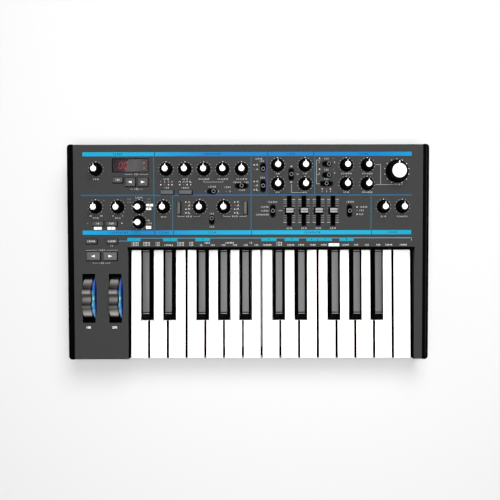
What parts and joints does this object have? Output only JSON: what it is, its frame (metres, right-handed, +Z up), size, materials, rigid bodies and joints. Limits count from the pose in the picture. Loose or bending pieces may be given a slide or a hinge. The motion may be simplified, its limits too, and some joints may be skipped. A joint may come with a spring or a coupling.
{
  "type": "keyboard synthesizer",
  "caption": "Compact desktop keyboard synthesizer with full-size keys, pitch and modulation wheels, and a sloping panel of knobs, faders, switches and buttons.",
  "frame": {"origin": "on the table, under the middle of the instrument", "axes": "+X to the player's right, +Y away from the player, +Z up"},
  "size_m": [0.446, 0.266, 0.0763],
  "materials": {
    "case_black": "fine-textured black moulding",
    "panel_paint": "dark grey satin powder coat",
    "white_key": "glossy white moulding",
    "black_key": "satin dark grey moulding",
    "knob_black": "matte black moulding with a white cap",
    "fader_silver": "light grey satin moulding",
    "wheel_rubber": "grey rubber tread on a lit blue core",
    "frame_steel": "zinc-plated sheet",
    "circuit_board": "green solder mask",
    "display_lens": "clear dark red tint"
  },
  "bodies": {
    "chassis": {"bottom_case": "case_black", "top_panel": "panel_paint", "display_window": "display_lens", "keybed_frame": "frame_steel", "control_board": "circuit_board"},
    "white_key_01": {"white_key_01": "white_key"},
    "white_key_02": {"white_key_02": "white_key"},
    "white_key_03": {"white_key_03": "white_key"},
    "white_key_04": {"white_key_04": "white_key"},
    "white_key_05": {"white_key_05": "white_key"},
    "white_key_06": {"white_key_06": "white_key"},
    "white_key_07": {"white_key_07": "white_key"},
    "white_key_08": {"white_key_08": "white_key"},
    "white_key_09": {"white_key_09": "white_key"},
    "white_key_10": {"white_key_10": "white_key"},
    "white_key_11": {"white_key_11": "white_key"},
    "white_key_12": {"white_key_12": "white_key"},
    "white_key_13": {"white_key_13": "white_key"},
    "white_key_14": {"white_key_14": "white_key"},
    "white_key_15": {"white_key_15": "white_key"},
    "black_key_01": {"black_key_01": "black_key"},
    "black_key_02": {"black_key_02": "black_key"},
    "black_key_03": {"black_key_03": "black_key"},
    "black_key_04": {"black_key_04": "black_key"},
    "black_key_05": {"black_key_05": "black_key"},
    "black_key_06": {"black_key_06": "black_key"},
    "black_key_07": {"black_key_07": "black_key"},
    "black_key_08": {"black_key_08": "black_key"},
    "black_key_09": {"black_key_09": "black_key"},
    "black_key_10": {"black_key_10": "black_key"},
    "volume_knob": {"volume_knob": "knob_black"},
    "osc_fine_knob": {"osc_fine_knob": "knob_black"},
    "osc_coarse_knob": {"osc_coarse_knob": "knob_black"},
    "osc_envelope_knob": {"osc_envelope_knob": "knob_black"},
    "osc_lfo_knob": {"osc_lfo_knob": "knob_black"},
    "pulse_width_knob": {"pulse_width_knob": "knob_black"},
    "mix_osc1_knob": {"mix_osc1_knob": "knob_black"},
    "mix_osc2_knob": {"mix_osc2_knob": "knob_black"},
    "mix_sub_knob": {"mix_sub_knob": "knob_black"},
    "mix_external_knob": {"mix_external_knob": "knob_black"},
    "resonance_knob": {"resonance_knob": "knob_black"},
    "filter_envelope_knob": {"filter_envelope_knob": "knob_black"},
    "overdrive_knob": {"overdrive_knob": "knob_black"},
    "filter_lfo_knob": {"filter_lfo_knob": "knob_black"},
    "arp_tempo_knob": {"arp_tempo_knob": "knob_black"},
    "arp_rhythm_knob": {"arp_rhythm_knob": "knob_black"},
    "arp_mode_knob": {"arp_mode_knob": "knob_black"},
    "arp_octave_knob": {"arp_octave_knob": "knob_black"},
    "glide_knob": {"glide_knob": "knob_black"},
    "lfo1_speed_knob": {"lfo1_speed_knob": "knob_black"},
    "lfo2_speed_knob": {"lfo2_speed_knob": "knob_black"},
    "distortion_knob": {"distortion_knob": "knob_black"},
    "filter_mod_knob": {"filter_mod_knob": "knob_black"},
    "cutoff_knob": {"cutoff_knob": "knob_black"},
    "attack_fader": {"attack_fader": "fader_silver"},
    "decay_fader": {"decay_fader": "fader_silver"},
    "sustain_fader": {"sustain_fader": "fader_silver"},
    "release_fader": {"release_fader": "fader_silver"},
    "pitch_wheel": {"pitch_wheel": "wheel_rubber"},
    "mod_wheel": {"mod_wheel": "wheel_rubber"}
  },
  "joints": [
    {"name": "white_key_01_press", "type": "hinge", "parent": "chassis", "child": "white_key_01", "pos_m": [-0.1411, 0.042, 0.028], "axis": [1, 0, 0], "range_deg": [0, 3.2], "stiffness_Nm_per_rad": 0.6, "springref_deg": -11.46},
    {"name": "white_key_02_press", "type": "hinge", "parent": "chassis", "child": "white_key_02", "pos_m": [-0.11305, 0.042, 0.028], "axis": [1, 0, 0], "range_deg": [0, 3.2], "stiffness_Nm_per_rad": 0.6, "springref_deg": -11.46},
    {"name": "white_key_03_press", "type": "hinge", "parent": "chassis", "child": "white_key_03", "pos_m": [-0.08515, 0.042, 0.028], "axis": [1, 0, 0], "range_deg": [0, 3.2], "stiffness_Nm_per_rad": 0.6, "springref_deg": -11.46},
    {"name": "white_key_04_press", "type": "hinge", "parent": "chassis", "child": "white_key_04", "pos_m": [-0.07095, 0.042, 0.028], "axis": [1, 0, 0], "range_deg": [0, 3.2], "stiffness_Nm_per_rad": 0.6, "springref_deg": -11.46},
    {"name": "white_key_05_press", "type": "hinge", "parent": "chassis", "child": "white_key_05", "pos_m": [-0.04395, 0.042, 0.028], "axis": [1, 0, 0], "range_deg": [0, 3.2], "stiffness_Nm_per_rad": 0.6, "springref_deg": -11.46},
    {"name": "white_key_06_press", "type": "hinge", "parent": "chassis", "child": "white_key_06", "pos_m": [-0.0169, 0.042, 0.028], "axis": [1, 0, 0], "range_deg": [0, 3.2], "stiffness_Nm_per_rad": 0.6, "springref_deg": -11.46},
    {"name": "white_key_07_press", "type": "hinge", "parent": "chassis", "child": "white_key_07", "pos_m": [0.0099, 0.042, 0.028], "axis": [1, 0, 0], "range_deg": [0, 3.2], "stiffness_Nm_per_rad": 0.6, "springref_deg": -11.46},
    {"name": "white_key_08_press", "type": "hinge", "parent": "chassis", "child": "white_key_08", "pos_m": [0.0241, 0.042, 0.028], "axis": [1, 0, 0], "range_deg": [0, 3.2], "stiffness_Nm_per_rad": 0.6, "springref_deg": -11.46},
    {"name": "white_key_09_press", "type": "hinge", "parent": "chassis", "child": "white_key_09", "pos_m": [0.05215, 0.042, 0.028], "axis": [1, 0, 0], "range_deg": [0, 3.2], "stiffness_Nm_per_rad": 0.6, "springref_deg": -11.46},
    {"name": "white_key_10_press", "type": "hinge", "parent": "chassis", "child": "white_key_10", "pos_m": [0.08005, 0.042, 0.028], "axis": [1, 0, 0], "range_deg": [0, 3.2], "stiffness_Nm_per_rad": 0.6, "springref_deg": -11.46},
    {"name": "white_key_11_press", "type": "hinge", "parent": "chassis", "child": "white_key_11", "pos_m": [0.09425, 0.042, 0.028], "axis": [1, 0, 0], "range_deg": [0, 3.2], "stiffness_Nm_per_rad": 0.6, "springref_deg": -11.46},
    {"name": "white_key_12_press", "type": "hinge", "parent": "chassis", "child": "white_key_12", "pos_m": [0.12125, 0.042, 0.028], "axis": [1, 0, 0], "range_deg": [0, 3.2], "stiffness_Nm_per_rad": 0.6, "springref_deg": -11.46},
    {"name": "white_key_13_press", "type": "hinge", "parent": "chassis", "child": "white_key_13", "pos_m": [0.1483, 0.042, 0.028], "axis": [1, 0, 0], "range_deg": [0, 3.2], "stiffness_Nm_per_rad": 0.6, "springref_deg": -11.46},
    {"name": "white_key_14_press", "type": "hinge", "parent": "chassis", "child": "white_key_14", "pos_m": [0.1751, 0.042, 0.028], "axis": [1, 0, 0], "range_deg": [0, 3.2], "stiffness_Nm_per_rad": 0.6, "springref_deg": -11.46},
    {"name": "white_key_15_press", "type": "hinge", "parent": "chassis", "child": "white_key_15", "pos_m": [0.1936, 0.042, 0.028], "axis": [1, 0, 0], "range_deg": [0, 3.2], "stiffness_Nm_per_rad": 0.6, "springref_deg": -11.46},
    {"name": "black_key_01_press", "type": "hinge", "parent": "chassis", "child": "black_key_01", "pos_m": [-0.127, 0.042, 0.028], "axis": [1, 0, 0], "range_deg": [0, 3.2], "stiffness_Nm_per_rad": 0.6, "springref_deg": -11.46},
    {"name": "black_key_02_press", "type": "hinge", "parent": "chassis", "child": "black_key_02", "pos_m": [-0.0991, 0.042, 0.028], "axis": [1, 0, 0], "range_deg": [0, 3.2], "stiffness_Nm_per_rad": 0.6, "springref_deg": -11.46},
    {"name": "black_key_03_press", "type": "hinge", "parent": "chassis", "child": "black_key_03", "pos_m": [-0.0575, 0.042, 0.028], "axis": [1, 0, 0], "range_deg": [0, 3.2], "stiffness_Nm_per_rad": 0.6, "springref_deg": -11.46},
    {"name": "black_key_04_press", "type": "hinge", "parent": "chassis", "child": "black_key_04", "pos_m": [-0.0304, 0.042, 0.028], "axis": [1, 0, 0], "range_deg": [0, 3.2], "stiffness_Nm_per_rad": 0.6, "springref_deg": -11.46},
    {"name": "black_key_05_press", "type": "hinge", "parent": "chassis", "child": "black_key_05", "pos_m": [-0.0034, 0.042, 0.028], "axis": [1, 0, 0], "range_deg": [0, 3.2], "stiffness_Nm_per_rad": 0.6, "springref_deg": -11.46},
    {"name": "black_key_06_press", "type": "hinge", "parent": "chassis", "child": "black_key_06", "pos_m": [0.0382, 0.042, 0.028], "axis": [1, 0, 0], "range_deg": [0, 3.2], "stiffness_Nm_per_rad": 0.6, "springref_deg": -11.46},
    {"name": "black_key_07_press", "type": "hinge", "parent": "chassis", "child": "black_key_07", "pos_m": [0.0661, 0.042, 0.028], "axis": [1, 0, 0], "range_deg": [0, 3.2], "stiffness_Nm_per_rad": 0.6, "springref_deg": -11.46},
    {"name": "black_key_08_press", "type": "hinge", "parent": "chassis", "child": "black_key_08", "pos_m": [0.1077, 0.042, 0.028], "axis": [1, 0, 0], "range_deg": [0, 3.2], "stiffness_Nm_per_rad": 0.6, "springref_deg": -11.46},
    {"name": "black_key_09_press", "type": "hinge", "parent": "chassis", "child": "black_key_09", "pos_m": [0.1348, 0.042, 0.028], "axis": [1, 0, 0], "range_deg": [0, 3.2], "stiffness_Nm_per_rad": 0.6, "springref_deg": -11.46},
    {"name": "black_key_10_press", "type": "hinge", "parent": "chassis", "child": "black_key_10", "pos_m": [0.1618, 0.042, 0.028], "axis": [1, 0, 0], "range_deg": [0, 3.2], "stiffness_Nm_per_rad": 0.6, "springref_deg": -11.46},
    {"name": "volume_knob_turn", "type": "hinge", "parent": "chassis", "child": "volume_knob", "pos_m": [-0.1876, 0.10247, 0.05981], "axis": [0, -0.0523, 0.9986], "range_deg": [-140, 140]},
    {"name": "osc_fine_knob_turn", "type": "hinge", "parent": "chassis", "child": "osc_fine_knob", "pos_m": [-0.101, 0.10247, 0.05981], "axis": [0, -0.0523, 0.9986], "range_deg": [-140, 140]},
    {"name": "osc_coarse_knob_turn", "type": "hinge", "parent": "chassis", "child": "osc_coarse_knob", "pos_m": [-0.07775, 0.10247, 0.05981], "axis": [0, -0.0523, 0.9986], "range_deg": [-140, 140]},
    {"name": "osc_envelope_knob_turn", "type": "hinge", "parent": "chassis", "child": "osc_envelope_knob", "pos_m": [-0.0545, 0.10247, 0.05981], "axis": [0, -0.0523, 0.9986], "range_deg": [-140, 140]},
    {"name": "osc_lfo_knob_turn", "type": "hinge", "parent": "chassis", "child": "osc_lfo_knob", "pos_m": [-0.03125, 0.10247, 0.05981], "axis": [0, -0.0523, 0.9986], "range_deg": [-140, 140]},
    {"name": "pulse_width_knob_turn", "type": "hinge", "parent": "chassis", "child": "pulse_width_knob", "pos_m": [-0.008, 0.10247, 0.05981], "axis": [0, -0.0523, 0.9986], "range_deg": [-140, 140]},
    {"name": "mix_osc1_knob_turn", "type": "hinge", "parent": "chassis", "child": "mix_osc1_knob", "pos_m": [0.0364, 0.10726, 0.06006], "axis": [0, -0.0523, 0.9986], "range_deg": [-140, 140]},
    {"name": "mix_osc2_knob_turn", "type": "hinge", "parent": "chassis", "child": "mix_osc2_knob", "pos_m": [0.0702, 0.10726, 0.06006], "axis": [0, -0.0523, 0.9986], "range_deg": [-140, 140]},
    {"name": "mix_sub_knob_turn", "type": "hinge", "parent": "chassis", "child": "mix_sub_knob", "pos_m": [0.0364, 0.08429, 0.05885], "axis": [0, -0.0523, 0.9986], "range_deg": [-140, 140]},
    {"name": "mix_external_knob_turn", "type": "hinge", "parent": "chassis", "child": "mix_external_knob", "pos_m": [0.0702, 0.08429, 0.05885], "axis": [0, -0.0523, 0.9986], "range_deg": [-140, 140]},
    {"name": "resonance_knob_turn", "type": "hinge", "parent": "chassis", "child": "resonance_knob", "pos_m": [0.121, 0.10726, 0.06006], "axis": [0, -0.0523, 0.9986], "range_deg": [-140, 140]},
    {"name": "filter_envelope_knob_turn", "type": "hinge", "parent": "chassis", "child": "filter_envelope_knob", "pos_m": [0.1468, 0.10726, 0.06006], "axis": [0, -0.0523, 0.9986], "range_deg": [-140, 140]},
    {"name": "overdrive_knob_turn", "type": "hinge", "parent": "chassis", "child": "overdrive_knob", "pos_m": [0.121, 0.08429, 0.05885], "axis": [0, -0.0523, 0.9986], "range_deg": [-140, 140]},
    {"name": "filter_lfo_knob_turn", "type": "hinge", "parent": "chassis", "child": "filter_lfo_knob", "pos_m": [0.1468, 0.08429, 0.05885], "axis": [0, -0.0523, 0.9986], "range_deg": [-140, 140]},
    {"name": "arp_tempo_knob_turn", "type": "hinge", "parent": "chassis", "child": "arp_tempo_knob", "pos_m": [-0.1884, 0.05613, 0.05738], "axis": [0, -0.0523, 0.9986], "range_deg": [-140, 140]},
    {"name": "arp_rhythm_knob_turn", "type": "hinge", "parent": "chassis", "child": "arp_rhythm_knob", "pos_m": [-0.161, 0.05613, 0.05738], "axis": [0, -0.0523, 0.9986], "range_deg": [-140, 140]},
    {"name": "arp_mode_knob_turn", "type": "hinge", "parent": "chassis", "child": "arp_mode_knob", "pos_m": [-0.1345, 0.05613, 0.05738], "axis": [0, -0.0523, 0.9986], "range_deg": [-180, 30]},
    {"name": "arp_octave_knob_turn", "type": "hinge", "parent": "chassis", "child": "arp_octave_knob", "pos_m": [-0.1345, 0.03746, 0.0564], "axis": [0, -0.0523, 0.9986], "range_deg": [-60, 30]},
    {"name": "glide_knob_turn", "type": "hinge", "parent": "chassis", "child": "glide_knob", "pos_m": [-0.1046, 0.05613, 0.05738], "axis": [0, -0.0523, 0.9986], "range_deg": [-140, 140]},
    {"name": "lfo1_speed_knob_turn", "type": "hinge", "parent": "chassis", "child": "lfo1_speed_knob", "pos_m": [-0.0598, 0.05613, 0.05738], "axis": [0, -0.0523, 0.9986], "range_deg": [-140, 140]},
    {"name": "lfo2_speed_knob_turn", "type": "hinge", "parent": "chassis", "child": "lfo2_speed_knob", "pos_m": [-0.03, 0.05613, 0.05738], "axis": [0, -0.0523, 0.9986], "range_deg": [-140, 140]},
    {"name": "distortion_knob_turn", "type": "hinge", "parent": "chassis", "child": "distortion_knob", "pos_m": [0.167, 0.05613, 0.05738], "axis": [0, -0.0523, 0.9986], "range_deg": [-140, 140]},
    {"name": "filter_mod_knob_turn", "type": "hinge", "parent": "chassis", "child": "filter_mod_knob", "pos_m": [0.1902, 0.05613, 0.05738], "axis": [0, -0.0523, 0.9986], "range_deg": [-140, 140]},
    {"name": "cutoff_knob_turn", "type": "hinge", "parent": "chassis", "child": "cutoff_knob", "pos_m": [0.1834, 0.09957, 0.05966], "axis": [0, -0.0523, 0.9986], "range_deg": [-140, 140]},
    {"name": "attack_fader_slide", "type": "slide", "parent": "chassis", "child": "attack_fader", "axis": [0, 0.9986, 0.0523], "range_m": [-0.014, 0.014]},
    {"name": "decay_fader_slide", "type": "slide", "parent": "chassis", "child": "decay_fader", "axis": [0, 0.9986, 0.0523], "range_m": [-0.014, 0.014]},
    {"name": "sustain_fader_slide", "type": "slide", "parent": "chassis", "child": "sustain_fader", "axis": [0, 0.9986, 0.0523], "range_m": [-0.014, 0.014]},
    {"name": "release_fader_slide", "type": "slide", "parent": "chassis", "child": "release_fader", "axis": [0, 0.9986, 0.0523], "range_m": [-0.014, 0.014]},
    {"name": "pitch_wheel_roll", "type": "hinge", "parent": "chassis", "child": "pitch_wheel", "pos_m": [-0.1977, -0.05599, 0.0357], "axis": [1, 0, 0], "range_deg": [-32, 32], "stiffness_Nm_per_rad": 0.08},
    {"name": "mod_wheel_roll", "type": "hinge", "parent": "chassis", "child": "mod_wheel", "pos_m": [-0.1649, -0.05599, 0.0357], "axis": [1, 0, 0], "range_deg": [-32, 32]}
  ]
}
